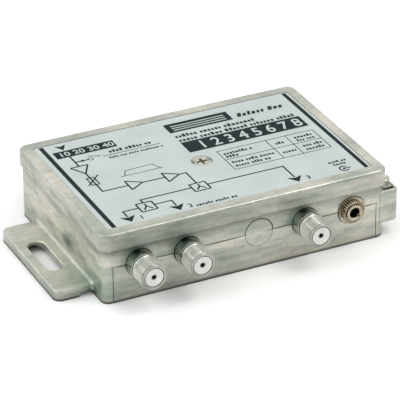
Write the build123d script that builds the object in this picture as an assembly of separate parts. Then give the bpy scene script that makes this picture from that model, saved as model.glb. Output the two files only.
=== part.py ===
from build123d import *
import os

# One overrun serves all cuts
overrun = 4.0

# Case, measured over the rim band that runs round its top
case_length = 107.0
case_depth = 72.0
case_height = 26.2
band_height = 6.2
band_overhang = 0.8
band_corner_radius = 3.6
band_foot_radius = 0.3
top_edge_radius = 1.0
wall = 1.8
top_thickness = 2.2
floor_thickness = 1.8
port_headroom = 1.65

# Seam between the two castings, along the connectors' axes
panel_end_margin = 3.3
panel_edge = 0.25
seam_gap = 0.3
slip_gap = 0.25

# Ribs cast on the underside of the top, and stops that hold the board down
rib_width = 1.4
rib_drop = 1.5
rib_share = 0.24
stop_width = 3.0
stop_reach = 2.4
stop_gap = 0.3
stop_share = 0.58

# Label and its shallow recess
label_end_margin = 4.1
label_side_margin = 4.4
recess_depth = 0.35
recess_corner_radius = 0.9
label_gap = 0.2
label_thickness = 0.2

# Countersunk screw that holds the two castings together
screw_x = -0.7
screw_y = -2.1
screw_radius = 2.0
screw_clearance = 0.2
screw_length = 16.0
screw_head_radius = 3.5
screw_head_land = 0.25
countersink_radius = 3.75
thread_clearance = 0.05
cross_width = 0.9
cross_span = 4.0
cross_depth = 1.3
boss_radius = 4.8
boss_drop = 3.2
pillar_radius = 3.8
pillar_gap = 0.2
bore_spare = 1.5

# Fixing ear cast on the left side
ear_width = 13.6
ear_length = 47.8
ear_centre_y = -2.6
ear_height = 4.1
ear_plate = 2.4
ear_rim = 1.8
ear_corner_radius = 2.8
ear_edge_radius = 0.5
ear_fillet = 1.2
ear_rim_stop = 5.1
ear_arch_radius = 1.1
slot_width = 6.1
slot_length = 21.1
slot_offset = 7.2
slot_edge = 0.25

# Earth terminal cast on the right side
lug_width = 5.2
lug_depth = 11.0
lug_headroom = 2.7
lug_height = 12.1
lug_corner_radius = 1.6
lug_edge_radius = 0.4
earth_offset = 2.7
earth_setback = 6.6
earth_screw_radius = 1.5
earth_screw_length = 8.0
earth_head_radius = 2.4
earth_head_height = 1.6
earth_slot_width = 0.7
earth_slot_depth = 0.8
earth_slot_angle = 35.0
pocket_width = 4.2
pocket_front = 1.0
pocket_back = 3.2
pocket_depth = 1.05
pocket_corner_radius = 1.0
groove_depth = 5.0
groove_length = 1.4
groove_corner_radius = 0.5
clamp_thickness = 1.0
clamp_gap = 0.2
clamp_rest = 0.05

# Places of the ports along the walls, from the middle of the case
port_end_margin = 13.1
port_pitch_share = 4 / 9
input_offset = 0.6
blank_radius = 5.1
blank_gap = 0.3
witness_width = 0.2
witness_depth = 0.12

# Coaxial connector with a three-eighths inch thread
shoulder_radius = 4.95
shoulder_length = 4.2
undercut_width = 0.3
undercut_depth = 0.4
thread_radius = 4.76
thread_length = 7.1
tip_chamfer = 0.4
port_clearance = 0.2
flange_width = 11.0
flange_thickness = 1.4
flange_gap = 0.2
flange_corner = 1.5
shell_bore_radius = 3.75
insulator_gap = 0.03
insulator_set_back = 0.12
insulator_edge = 0.12
insulator_back = 0.6
entry_radius = 0.65
funnel_radius = 1.4
funnel_depth = 0.35
contact_radius = 0.95
contact_bore_radius = 0.45
contact_bore_length = 6.5
contact_set_back = 2.0
contact_gap = 0.1
contact_slit = 0.25
contact_slit_length = 3.0
tail_radius = 0.5
tail_length = 4.0
tail_gap = 0.2
ground_tail_width = 1.2
ground_tail_height = 0.8
ground_tail_length = 3.2

# Supply jack for a 3.5 mm plug
bush_radius = 3.0
bush_bore_radius = 1.85
bush_mouth = 0.2
bush_reach = 2.75
bush_clearance = 0.2
bush_flange_radius = 4.4
bush_flange_thickness = 1.2
bush_key_width = 0.8
bush_key_reach = 0.45
bush_key_depth = 0.9
bush_key_angle = -40.0
washer_radius = 4.95
washer_thickness = 0.5
washer_gap = 0.05
nut_radius = 4.1
nut_thickness = 1.7
nut_gap = 0.05
nut_chamfer = 0.35
nut_mouth = 0.3
nut_teeth = 30
tooth_depth = 0.2
jack_body_width = 9.0
jack_body_length = 10.0
jack_body_edge = 0.5
jack_bore_gap = 0.2
jack_bore_spare = 1.5
spring_width = 2.4
spring_thickness = 0.35
spring_length = 6.0
spring_dip = 0.9
spring_knee_share = 0.67
spring_slot_gap = 0.3
spring_foot_height = 0.8
jack_lug_width = 2.0
jack_lug_thickness = 0.4
jack_lug_length = 3.0

# Circuit board and what holds it
board_side_gap = 0.9
board_end_gap = 0.3
board_thickness = 1.6
board_corner = 1.5
pillar_hole_gap = 0.6
jack_notch_gap = 0.6
post_radius = 2.6
post_x_share = 0.9
post_y_share = 0.42
board_screw_radius = 1.25
board_screw_length = 6.0
board_head_radius = 2.3
board_head_height = 1.5
board_head_edge = 0.5
board_hole_gap = 0.15

# Small parts on the board
chip_length = 4.6
chip_depth = 2.6
chip_height = 1.5
chip_edge = 0.3
lead_width = 0.5
lead_reach = 0.9
lead_thickness = 0.25
lead_count = 3
core_length = 7.0
core_depth = 5.0
core_height = 4.2
core_hole_radius = 1.0
core_hole_share = 0.5
wire_radius = 0.22
wire_reach = 0.8
wire_bend = 0.5
capacitor_radius = 3.15
capacitor_height = 7.0
capacitor_base = 0.8
capacitor_base_margin = 0.3
capacitor_neck_height = 0.5
capacitor_neck_depth = 0.25
choke_radius = 2.6
choke_height = 4.6
choke_waist_radius = 1.7
choke_cheek = 0.9
regulator_length = 6.5
regulator_depth = 3.5
regulator_height = 1.7
small_chip_length = 2.0
small_chip_depth = 1.25
small_chip_height = 0.6
shield_height = 8.0
shield_thickness = 0.4
shield_span_share = 0.5
trimmer_width = 6.4
trimmer_height = 2.6
rotor_radius = 2.2
rotor_height = 1.2
rotor_gap = 0.1
rotor_proud = 0.4
rotor_slot_width = 0.6
rotor_slot_depth = 0.6
switch_length = 8.6
switch_depth = 3.6
switch_height = 3.4
slider_length = 1.6
slider_depth = 1.4
slider_proud = 2.0
slider_sink = 1.2
slider_travel = 1.5
slider_gap = 0.15

# Their places, as shares of half the board's length and depth
input_amplifier_shares = (-0.80, 0.34)
trimmer_shares = (-0.80, 0.02)
driver_amplifier_shares = (-0.56, -0.22)
output_amplifier_shares = (-0.28, -0.22)
splitter_1_shares = (-0.18, -0.60)
splitter_2_shares = (-0.62, -0.56)
switch_shares = (-0.58, 0.52)
choke_shares = ((-0.66, 0.20), (0.34, -0.10))
capacitor_shares = ((0.42, 0.42), (0.62, 0.42), (0.82, -0.06))
regulator_shares = (0.58, -0.10)
shield_shares = (-0.06, 0.36)
resistor_shares = (
    (-0.72, 0.62), (-0.88, 0.22), (-0.70, 0.10), (-0.70, -0.08), (-0.44, -0.04), (-0.42, -0.40),
    (-0.16, -0.40), (0.16, -0.36), (0.30, -0.62), (0.52, -0.40), (0.66, 0.12), (0.16, 0.62),
)
chip_capacitor_shares = (
    (-0.86, 0.62), (-0.92, 0.46), (-0.66, 0.40), (-0.90, -0.18), (-0.68, -0.24), (-0.42, -0.16),
    (-0.14, -0.16), (0.04, -0.60), (0.40, -0.40), (0.28, 0.20), (0.48, 0.14), (0.24, 0.40),
)

# How far from a plane an edge may lie and still count as on it
pick_reach_share = 0.01

# Values that follow from the ones above
wall_x = case_length / 2 - band_overhang
wall_y = case_depth / 2 - band_overhang
wall_corner_radius = band_corner_radius - band_overhang
inner_x = wall_x - wall
inner_y = wall_y - wall
band_foot = case_height - band_height
axis_height = band_foot - port_headroom - washer_radius
lug_top = band_foot - lug_headroom
ceiling = case_height - top_thickness
recess_x = case_length / 2 - label_end_margin
recess_y = case_depth / 2 - label_side_margin
recess_floor = case_height - recess_depth
panel_x = wall_x - panel_end_margin
jack_x = wall_x - port_end_margin
port_pitch = port_pitch_share * jack_x
output_3_x = jack_x - port_pitch
blank_x = output_3_x - port_pitch
output_2_x = -output_3_x
output_1_x = -jack_x
input_x = output_1_x - input_offset
thread_start = shoulder_length + undercut_width
connector_reach = thread_start + thread_length
hole_radius = shoulder_radius + port_clearance
flange_front = -wall - flange_gap
flange_back = flange_front - flange_thickness
insulator_front = connector_reach - insulator_set_back
insulator_rear = flange_back - insulator_back
bush_back = flange_front - bush_flange_thickness
jack_back = bush_back - jack_body_length
nut_back = washer_gap + washer_thickness + nut_gap
nut_front = nut_back + nut_thickness
screw_seat = recess_floor - countersink_radius + screw_head_radius + thread_clearance
screw_top = screw_seat + screw_head_land
screw_tip = screw_top - screw_length
pillar_top = ceiling - boss_drop - pillar_gap
board_top = axis_height - tail_radius - tail_gap
board_bottom = board_top - board_thickness
board_x = inner_x - board_side_gap
board_y = wall_y + insulator_rear - board_end_gap
earth_x = wall_x + earth_offset
earth_y = -wall_y + earth_setback
pocket_floor = lug_top - pocket_depth
clamp_bottom = pocket_floor + clamp_rest
clamp_top = clamp_bottom + clamp_thickness
earth_head_top = clamp_top + clamp_rest + earth_head_height
ports = {
    "output_1": (output_1_x, -1),
    "output_2": (output_2_x, -1),
    "output_3": (output_3_x, -1),
    "input": (input_x, 1),
}


def block(x0, x1, y0, y1, z0, z1):
    """A box between its limits, given in either order."""
    middle = Pos((x0 + x1) / 2, (y0 + y1) / 2, (z0 + z1) / 2)
    return middle * Box(abs(x1 - x0), abs(y1 - y0), abs(z1 - z0))


def plate(length, depth, z0, z1):
    """A box centred on the Z axis."""
    return block(-length / 2, length / 2, -depth / 2, depth / 2, z0, z1)


def slab(x0, x1, y0, y1, z0, z1, radius):
    """A box with its four upright corners rounded."""
    outline = Pos((x0 + x1) / 2, (y0 + y1) / 2, z0) * RectangleRounded(x1 - x0, y1 - y0, radius)
    return extrude(outline, z1 - z0)


def rod(x, y, z0, z1, radius):
    """An upright cylinder."""
    return Pos(x, y, (z0 + z1) / 2) * Cylinder(radius, z1 - z0)


def cone(x, y, z0, z1, radius0, radius1):
    """An upright cone or frustum."""
    return Pos(x, y, (z0 + z1) / 2) * Cone(radius0, radius1, z1 - z0)


def turned(*points):
    """A solid turned about the Z axis from radius and height pairs."""
    outline = Polyline(*[(radius, 0, height) for radius, height in points], close=True)
    return revolve(make_face(outline), Axis.Z)


def edges_at(solid, axis, position):
    """The edges whose middle lies at a position along an axis."""
    reach = wall * pick_reach_share
    return solid.edges().filter_by_position(axis, position - reach, position + reach)


def at_wall(x, side):
    """A port's place in a long wall: local Z points out of the case and local Y points up."""
    turn = Rot(90, 0, 0) if side < 0 else Rot(0, 0, 180) * Rot(90, 0, 0)
    return Pos(x, side * wall_y, axis_height) * turn


def on_board(shares):
    """A place on the board's top, from its shares of half the board."""
    return Pos(shares[0] * board_x, shares[1] * board_y, board_top)


def post_places():
    """Where the board is screwed down: two opposite corners."""
    x = post_x_share * board_x
    y = post_y_share * board_y
    return ((-x, -y), (x, y))


def case_block():
    """The outside of the case: plain walls under a rim band with a rounded top edge."""
    x = case_length / 2
    y = case_depth / 2
    band = slab(-x, x, -y, y, band_foot, case_height, band_corner_radius)
    band = fillet(edges_at(band, Axis.Z, case_height), top_edge_radius)
    band = fillet(edges_at(band, Axis.Z, band_foot), band_foot_radius)
    return band + slab(-wall_x, wall_x, -wall_y, wall_y, 0, band_foot + wall, wall_corner_radius)


def fixing_ear():
    """The slotted ear: a plate with a rim turned down round it, open underneath."""
    outer = -wall_x - ear_width
    inner = -inner_x
    front = ear_centre_y - ear_length / 2
    back = ear_centre_y + ear_length / 2
    under = ear_height - ear_plate
    ear = slab(outer, inner + ear_width, front, back, 0, ear_height, ear_corner_radius)
    ear = fillet(edges_at(ear, Axis.Z, ear_height), ear_edge_radius)
    ear -= block(inner, inner + ear_width + overrun, front - overrun, back + overrun, -overrun, case_height)
    corner = ear_corner_radius - ear_rim
    ear -= slab(outer + ear_rim, inner + overrun, front + ear_rim, back - ear_rim, -overrun, under, corner)
    arch = block(-wall_x - ear_rim_stop, -wall_x, front - overrun, back + overrun, -overrun, under)
    ear -= fillet(arch.edges().filter_by(Axis.Y).group_by(Axis.Z)[-1], ear_arch_radius)
    slot = extrude(SlotOverall(slot_length, slot_width, rotation=90), ear_height + 2 * overrun)
    ear -= Pos(-wall_x - slot_offset, ear_centre_y, -overrun) * slot
    rim = edges_at(ear, Axis.Z, ear_height)
    middle = rim.filter_by_position(Axis.Y, front + ear_rim, back - ear_rim)
    return chamfer(middle.filter_by_position(Axis.X, outer + ear_rim, -wall_x), slot_edge)


def earth_lug():
    """The terminal block on the right wall, without its holes."""
    outer = wall_x + lug_width
    lug = block(inner_x, outer, -wall_y, -wall_y + lug_depth, lug_top - lug_height, lug_top)
    lug = fillet(edges_at(lug, Axis.X, outer).filter_by(Axis.Z), lug_corner_radius)
    return fillet(edges_at(lug, Axis.X, outer), lug_edge_radius)


def earth_holes():
    """Pocket for the clamp, wire groove in front of it, and the screw's hole."""
    outer = wall_x + pocket_width
    front = -wall_y + pocket_front
    back = earth_y + pocket_back
    tip = clamp_top - earth_screw_length - bore_spare
    pocket = slab(wall_x, outer, front, back, pocket_floor, band_foot, pocket_corner_radius)
    groove_floor = lug_top - groove_depth
    groove = slab(wall_x, outer, front, front + groove_length, groove_floor, lug_top, groove_corner_radius)
    return pocket + groove + rod(earth_x, earth_y, tip, lug_top, earth_screw_radius + thread_clearance)


def wall_openings():
    """Round openings through the long walls for the connectors and the jack."""
    cuts = [at_wall(x, side) * rod(0, 0, -overrun, overrun, hole_radius) for x, side in ports.values()]
    cuts.append(at_wall(jack_x, -1) * rod(0, 0, -overrun, overrun, bush_radius + bush_clearance))
    return cuts


def ceiling_ribs():
    """Stiffening ribs under the top, and stops on the side walls just over the board."""
    ribs = []
    buried = ceiling + wall / 2
    for hand in (-1, 1):
        x = hand * rib_share * case_length
        reach = inner_y + wall / 2
        ribs.append(block(x - rib_width / 2, x + rib_width / 2, -reach, reach, ceiling - rib_drop, buried))
        tip = hand * (inner_x - stop_reach)
        root = hand * (inner_x + wall / 2)
        stop = block(tip, root, -stop_width / 2, stop_width / 2, board_top + stop_gap, buried)
        ribs += [Pos(0, end * stop_share * wall_y, 0) * stop for end in (-1, 1)]
    return ribs


def top_housing():
    """The upper casting: top, band, side walls, upper halves of the long walls, ear and terminal."""
    shell = case_block() + fixing_ear()
    low = ear_height - ear_edge_radius
    root = edges_at(shell, Axis.X, -wall_x).filter_by_position(Axis.Z, low, ear_height + ear_edge_radius)
    shell = fillet(root.filter_by(Axis.Y), ear_fillet)
    shell += earth_lug()
    shell -= slab(-inner_x, inner_x, -inner_y, inner_y, -overrun, ceiling, wall_corner_radius - wall)
    shell += ceiling_ribs()
    seam = axis_height + seam_gap / 2
    for side in (-1, 1):
        outer = side * (wall_y + overrun)
        shell -= block(-panel_x, panel_x, outer, side * (inner_y - overrun), -overrun, seam)
    shell -= wall_openings()
    shell -= at_wall(blank_x, -1) * rod(0, 0, -overrun, overrun, blank_radius + blank_gap)
    shell += rod(screw_x, screw_y, ceiling - boss_drop, ceiling + wall / 2, boss_radius)
    shell -= rod(screw_x, screw_y, board_bottom, case_height, screw_radius + screw_clearance)
    high = case_height + overrun
    shell -= slab(-recess_x, recess_x, -recess_y, recess_y, recess_floor, high, recess_corner_radius)
    shell -= cone(screw_x, screw_y, recess_floor - countersink_radius, recess_floor, 0, countersink_radius)
    return shell - earth_holes()


def half_wall(side):
    """The lower half of a long wall, up to the seam, with its top outer edge eased."""
    top = axis_height - seam_gap / 2
    reach = panel_x - slip_gap
    panel = block(-reach, reach, side * wall_y, side * inner_y, 0, top)
    outer_edges = edges_at(panel, Axis.Y, side * wall_y).filter_by(Axis.X)
    return chamfer(outer_edges.filter_by_position(Axis.Z, top - wall, top + wall), panel_edge)


def base_cover():
    """The lower casting: floor, lower halves of the long walls, blanked port, pillar and posts."""
    floor_x = inner_x - slip_gap
    floor_y = inner_y - slip_gap
    reach = panel_x - slip_gap
    corner = wall_corner_radius - wall
    base = slab(-floor_x, floor_x, -floor_y, floor_y, 0, floor_thickness, corner)
    base += block(-reach, reach, -wall_y, wall_y, 0, floor_thickness)
    base += [half_wall(-1), half_wall(1)]
    base -= wall_openings()
    base += at_wall(blank_x, -1) * rod(0, 0, -wall, 0, blank_radius)
    witness = rod(0, 0, -witness_depth, overrun, blank_radius + witness_width)
    base -= at_wall(blank_x, -1) * (witness - rod(0, 0, -overrun, overrun, blank_radius))
    base += rod(screw_x, screw_y, 0, pillar_top, pillar_radius)
    bore = screw_radius + thread_clearance
    base -= rod(screw_x, screw_y, screw_tip - bore_spare, pillar_top + overrun, bore)
    tip = board_top - board_screw_length - bore_spare
    for x, y in post_places():
        base += rod(x, y, 0, board_bottom, post_radius)
        base -= rod(x, y, tip, board_bottom + overrun, board_screw_radius + thread_clearance)
    return base


def label_plate():
    """The label, lying in its recess, with a hole over the screw."""
    x = recess_x - label_gap
    y = recess_y - label_gap
    top = recess_floor + label_thickness
    label = slab(-x, x, -y, y, recess_floor, top, recess_corner_radius)
    return label - rod(screw_x, screw_y, recess_floor - overrun, top + overrun, countersink_radius)


def cover_screw():
    """The countersunk machine screw in the middle of the top, with its cross recess."""
    neck = screw_seat - screw_head_radius + screw_radius
    screw = turned(
        (0, screw_tip), (screw_radius, screw_tip), (screw_radius, neck),
        (screw_head_radius, screw_seat), (screw_head_radius, screw_top), (0, screw_top),
    )
    bar = plate(cross_span, cross_width, screw_top - cross_depth, screw_top + overrun)
    return Pos(screw_x, screw_y, 0) * (screw - bar - Rot(0, 0, 90) * bar)


def connector_shell():
    """The metal shell: flange behind the wall, plain shoulder, undercut and threaded barrel."""
    waist = shoulder_radius - undercut_depth
    tip = connector_reach
    shell = turned(
        (0, flange_front), (shoulder_radius, flange_front), (shoulder_radius, shoulder_length),
        (waist, shoulder_length), (waist, thread_start), (thread_radius, thread_start),
        (thread_radius, tip - tip_chamfer), (thread_radius - tip_chamfer, tip), (0, tip),
    )
    flange = plate(flange_width, flange_width, flange_back, flange_front)
    shell += chamfer(flange.edges().filter_by(Axis.Z), flange_corner)
    low = board_top - axis_height
    high = low + ground_tail_height
    tail = block(0, ground_tail_width, low, high, flange_back - ground_tail_length, flange_front)
    for x in (-flange_width / 2, flange_width / 2 - ground_tail_width):
        shell += Pos(x, 0, 0) * tail
    return shell - rod(0, 0, insulator_rear - overrun, tip + overrun, shell_bore_radius)


def connector_insulator():
    """The white core that fills the shell, with a funnel that leads the wire in."""
    radius = shell_bore_radius - insulator_gap
    core = rod(0, 0, insulator_rear, insulator_front, radius)
    core = chamfer(edges_at(core, Axis.Z, insulator_front), insulator_edge)
    core -= rod(0, 0, insulator_rear - overrun, insulator_front + overrun, entry_radius)
    core -= cone(0, 0, insulator_front - funnel_depth, insulator_front, entry_radius, funnel_radius)
    seat = insulator_front - contact_set_back + contact_gap
    return core - rod(0, 0, insulator_rear - overrun, seat, contact_radius + contact_gap)


def connector_contact():
    """The slit spring tube that grips the wire, with a tail that lies on the board."""
    front = insulator_front - contact_set_back
    contact = rod(0, 0, insulator_rear, front, contact_radius)
    contact += rod(0, 0, insulator_rear - tail_length, insulator_rear, tail_radius)
    contact -= rod(0, 0, front - contact_bore_length, front + overrun, contact_bore_radius)
    slit = plate(2 * overrun, contact_slit, front - contact_slit_length, front + overrun)
    return contact - slit - Rot(0, 0, 90) * slit


def jack_bush():
    """The threaded bush of the jack, with a flange behind the wall and a key notch in its mouth."""
    bush = rod(0, 0, bush_back, bush_reach, bush_radius)
    bush += rod(0, 0, bush_back, flange_front, bush_flange_radius)
    bush -= rod(0, 0, bush_back - overrun, bush_reach + overrun, bush_bore_radius)
    mouth = bush_bore_radius + bush_mouth
    bush -= cone(0, 0, bush_reach - bush_mouth, bush_reach, bush_bore_radius, mouth)
    reach = bush_bore_radius + bush_key_reach
    half = bush_key_width / 2
    notch = block(0, reach, -half, half, bush_reach - bush_key_depth, bush_reach + overrun)
    return at_wall(jack_x, -1) * (bush - Rot(0, 0, bush_key_angle) * notch)


def jack_body():
    """The moulded body behind the bush, with its bore and a window for the tip spring."""
    body = plate(jack_body_width, jack_body_width, jack_back, bush_back)
    body = chamfer(body.edges().filter_by(Axis.Z), jack_body_edge)
    bore = bush_bore_radius + jack_bore_gap
    body -= rod(0, 0, jack_back + jack_bore_spare, bush_back + overrun, bore)
    half = spring_width / 2 + spring_slot_gap
    start = jack_back + spring_foot_height
    body -= block(-half, half, 0, jack_body_width, start, start + spring_length + 3 * spring_slot_gap)
    return at_wall(jack_x, -1) * body


def jack_tip_spring():
    """The sprung leaf that touches the plug's tip: a straight leaf with a dip into the bore."""
    start = jack_back + spring_foot_height + spring_slot_gap
    end = start + spring_length - 2 * spring_slot_gap
    knee = start + spring_knee_share * (end - start)
    top = jack_body_width / 2
    low = bush_bore_radius - spring_dip
    t = spring_thickness
    outline = Polyline(
        (0, top - t, start), (0, top, start), (0, top, knee), (0, low + t, end),
        (0, low, end), (0, low, end - t), (0, top - t, knee - t), close=True,
    )
    leaf = extrude(make_face(outline), spring_width / 2, dir=(1, 0, 0), both=True)
    return at_wall(jack_x, -1) * leaf


def jack_lugs():
    """Two flat lugs that join the jack to the board, one on each side of its notch."""
    low = board_top - axis_height
    root = jack_body_width / 2
    tip = root + jack_notch_gap + jack_lug_length
    start = jack_back + jack_lug_width
    lugs = []
    for hand in (-1, 1):
        lug = block(hand * root, hand * tip, low, low + jack_lug_thickness, start, start + jack_lug_width)
        lugs.append(lug)
    return at_wall(jack_x, -1) * (Part() + lugs)


def jack_washer():
    """The flat washer between the wall and the nut."""
    washer = rod(0, 0, washer_gap, washer_gap + washer_thickness, washer_radius)
    return at_wall(jack_x, -1) * (washer - rod(0, 0, -overrun, overrun, bush_radius + nut_gap))


def jack_nut():
    """The round nut with a serrated rim that clamps the jack to the wall."""
    nut = turned(
        (0, nut_back), (nut_radius, nut_back), (nut_radius, nut_front - nut_chamfer),
        (nut_radius - nut_chamfer, nut_front), (0, nut_front),
    )
    side = tooth_depth * 2
    tooth = Pos(nut_radius, 0, 0) * Rot(0, 0, 45) * plate(side, side, nut_back - overrun, nut_front + overrun)
    nut -= [Rot(0, 0, 360 * k / nut_teeth) * tooth for k in range(nut_teeth)]
    bore = bush_radius + thread_clearance
    nut -= rod(0, 0, nut_back - overrun, nut_front + overrun, bore)
    return at_wall(jack_x, -1) * (nut - cone(0, 0, nut_front - nut_mouth, nut_front, bore, bore + nut_mouth))


def earth_clamp():
    """The small plate that presses the earth wire."""
    x0 = wall_x + clamp_gap
    x1 = wall_x + pocket_width - clamp_gap
    y0 = -wall_y + pocket_front + groove_length - clamp_gap
    y1 = earth_y + pocket_back - clamp_gap
    clamp = slab(x0, x1, y0, y1, clamp_bottom, clamp_top, pocket_corner_radius - clamp_gap)
    hole = earth_screw_radius + thread_clearance
    return clamp - rod(earth_x, earth_y, clamp_bottom - overrun, clamp_top + overrun, hole)


def earth_screw():
    """The slotted screw of the earth terminal."""
    under = clamp_top + clamp_rest
    head = rod(earth_x, earth_y, under, earth_head_top, earth_head_radius)
    head = fillet(edges_at(head, Axis.Z, earth_head_top), earth_slot_depth / 2)
    screw = head + rod(earth_x, earth_y, clamp_top - earth_screw_length, under, earth_screw_radius)
    slot = plate(2 * earth_head_radius + overrun, earth_slot_width, -earth_slot_depth, overrun)
    return screw - Pos(earth_x, earth_y, earth_head_top) * Rot(0, 0, earth_slot_angle) * slot


def circuit_board():
    """The board, cut out round the pillar and the jack, with holes for its two screws."""
    low = board_bottom - overrun
    high = board_top + overrun
    board = block(-board_x, board_x, -board_y, board_y, board_bottom, board_top)
    board = chamfer(board.edges().filter_by(Axis.Z), board_corner)
    board -= rod(screw_x, screw_y, low, high, pillar_radius + pillar_hole_gap)
    half = jack_body_width / 2 + jack_notch_gap
    back = -wall_y - jack_back + jack_notch_gap
    board -= block(jack_x - half, jack_x + half, -wall_y, back, low, high)
    for x, y in post_places():
        board -= rod(x, y, low, high, board_screw_radius + board_hole_gap)
    return board


def board_screws():
    """The two screws that hold the board on its posts."""
    top = board_top + board_head_height
    head = rod(0, 0, board_top, top, board_head_radius)
    head = fillet(edges_at(head, Axis.Z, top), board_head_edge)
    shank = rod(0, 0, board_top - board_screw_length, board_top, board_screw_radius)
    bar = plate(board_head_radius, board_screw_radius / 2, top - board_head_height / 2, top + overrun)
    screw = head + shank - bar - Rot(0, 0, 90) * bar
    return Part() + [Pos(x, y, 0) * screw for x, y in post_places()]


def packaged_chip(shares, length, depth, height):
    """A moulded package with eased top edges."""
    body = plate(length, depth, lead_thickness, height)
    return on_board(shares) * chamfer(edges_at(body, Axis.Z, height), chip_edge)


def package_leads():
    """Tinned leads of the three amplifiers and the regulator."""
    packages = [
        (shares, chip_length, chip_depth)
        for shares in (input_amplifier_shares, driver_amplifier_shares, output_amplifier_shares)
    ]
    packages.append((regulator_shares, regulator_length, regulator_depth))
    leads = []
    for shares, length, depth in packages:
        for k in range(lead_count):
            x = (k - (lead_count - 1) / 2) * length / lead_count
            for side in (-1, 1):
                tip = side * (depth / 2 + lead_reach)
                lead = block(0, lead_width, side * depth / 4, tip, 0, lead_thickness)
                leads.append(on_board(shares) * Pos(x - lead_width / 2, 0, 0) * lead)
    return Part() + leads


def splitter_core(shares):
    """A ferrite block with two holes for the windings."""
    core = plate(core_length, core_depth, 0, core_height)
    core = chamfer(core.edges().filter_by(Axis.Z), chip_edge)
    hole = Rot(90, 0, 0) * Cylinder(core_hole_radius, core_depth + overrun)
    for hand in (-1, 1):
        core -= Pos(hand * core_length / 2 * core_hole_share, 0, core_height / 2) * hole
    return on_board(shares) * core


def splitter_wires():
    """One wire hairpin through the two holes of each core, with its ends down on the board."""
    a = core_length / 2 * core_hole_share
    b = core_depth / 2 + wire_reach
    z = core_height / 2
    points = ((-a, -b, 0), (-a, -b, z), (-a, b, z), (a, b, z), (a, -b, z), (a, -b, 0))
    wire = sweep(Pos(-a, -b, 0) * Circle(wire_radius), FilletPolyline(*points, radius=wire_bend))
    return Part() + [on_board(shares) * wire for shares in (splitter_1_shares, splitter_2_shares)]


def supply_capacitors():
    """Aluminium can capacitors on square bases."""
    waist = capacitor_radius - capacitor_neck_depth
    neck = capacitor_base + capacitor_neck_height
    can = turned(
        (0, capacitor_base), (capacitor_radius, capacitor_base), (capacitor_radius, neck),
        (waist, neck + capacitor_neck_depth), (capacitor_radius, neck + 2 * capacitor_neck_depth),
        (capacitor_radius, capacitor_height - capacitor_neck_depth), (waist, capacitor_height),
        (0, capacitor_height),
    )
    side = 2 * (capacitor_radius + capacitor_base_margin)
    base = plate(side, side, 0, capacitor_base)
    can += chamfer(base.edges().filter_by(Axis.Z), capacitor_base_margin * 2)
    return Part() + [on_board(shares) * can for shares in capacitor_shares]


def supply_chokes():
    """Drum chokes in the supply feed."""
    top = choke_height - choke_cheek
    choke = turned(
        (0, 0), (choke_radius, 0), (choke_radius, choke_cheek), (choke_waist_radius, choke_cheek),
        (choke_waist_radius, top), (choke_radius, top), (choke_radius, choke_height), (0, choke_height),
    )
    return Part() + [on_board(shares) * choke for shares in choke_shares]


def small_chips(places, turn):
    """A group of small two-ended chips."""
    chip = Rot(0, 0, turn) * plate(small_chip_length, small_chip_depth, 0, small_chip_height)
    return Part() + [on_board(shares) * chip for shares in places]


def shield_wall():
    """The tinned sheet that stands between the stages."""
    return on_board(shield_shares) * plate(shield_thickness, shield_span_share * board_y, 0, shield_height)


def trimmer_body():
    """The level control's body, with a round well for its rotor."""
    body = plate(trimmer_width, trimmer_width, 0, trimmer_height)
    body = chamfer(body.edges().filter_by(Axis.Z), chip_edge)
    floor = trimmer_height + rotor_proud - rotor_height - rotor_gap
    well = rod(0, 0, floor, trimmer_height + overrun, rotor_radius + rotor_gap)
    return on_board(trimmer_shares) * (body - well)


def trimmer_rotor():
    """The level control's rotor, with a driver slot."""
    top = trimmer_height + rotor_proud
    slot = plate(2 * rotor_radius, rotor_slot_width, top - rotor_slot_depth, top + overrun)
    return on_board(trimmer_shares) * (rod(0, 0, top - rotor_height, top, rotor_radius) - slot)


def switch_body():
    """The case of the switch for the cable supply, with a window for its slider."""
    floor = switch_height - slider_sink - slider_gap
    window_length = slider_length + 2 * (slider_travel + slider_gap)
    window_depth = slider_depth + 2 * slider_gap
    window = plate(window_length, window_depth, floor, switch_height + overrun)
    return on_board(switch_shares) * (plate(switch_length, switch_depth, 0, switch_height) - window)


def switch_slider():
    """The switch's slider, at the off end of its window."""
    slider = plate(slider_length, slider_depth, switch_height - slider_sink, switch_height + slider_proud)
    return on_board(switch_shares) * Pos(-slider_travel, 0, 0) * slider


nodes = {
    "base_cover": base_cover(),
    "top_housing": top_housing(),
    "label_plate": label_plate(),
    "cover_screw": cover_screw(),
    "jack_bush": jack_bush(),
    "jack_body": jack_body(),
    "jack_tip_spring": jack_tip_spring(),
    "jack_lugs": jack_lugs(),
    "jack_washer": jack_washer(),
    "jack_nut": jack_nut(),
    "earth_clamp": earth_clamp(),
    "earth_screw": earth_screw(),
    "circuit_board": circuit_board(),
    "board_screws": board_screws(),
    "input_amplifier": packaged_chip(input_amplifier_shares, chip_length, chip_depth, chip_height),
    "driver_amplifier": packaged_chip(driver_amplifier_shares, chip_length, chip_depth, chip_height),
    "output_amplifier": packaged_chip(output_amplifier_shares, chip_length, chip_depth, chip_height),
    "supply_regulator": packaged_chip(regulator_shares, regulator_length, regulator_depth, regulator_height),
    "package_leads": package_leads(),
    "splitter_core_1": splitter_core(splitter_1_shares),
    "splitter_core_2": splitter_core(splitter_2_shares),
    "splitter_wires": splitter_wires(),
    "supply_capacitors": supply_capacitors(),
    "supply_chokes": supply_chokes(),
    "chip_resistors": small_chips(resistor_shares, 0),
    "chip_capacitors": small_chips(chip_capacitor_shares, 90),
    "shield_wall": shield_wall(),
    "trimmer_body": trimmer_body(),
    "trimmer_rotor": trimmer_rotor(),
    "switch_body": switch_body(),
    "switch_slider": switch_slider(),
}

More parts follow.
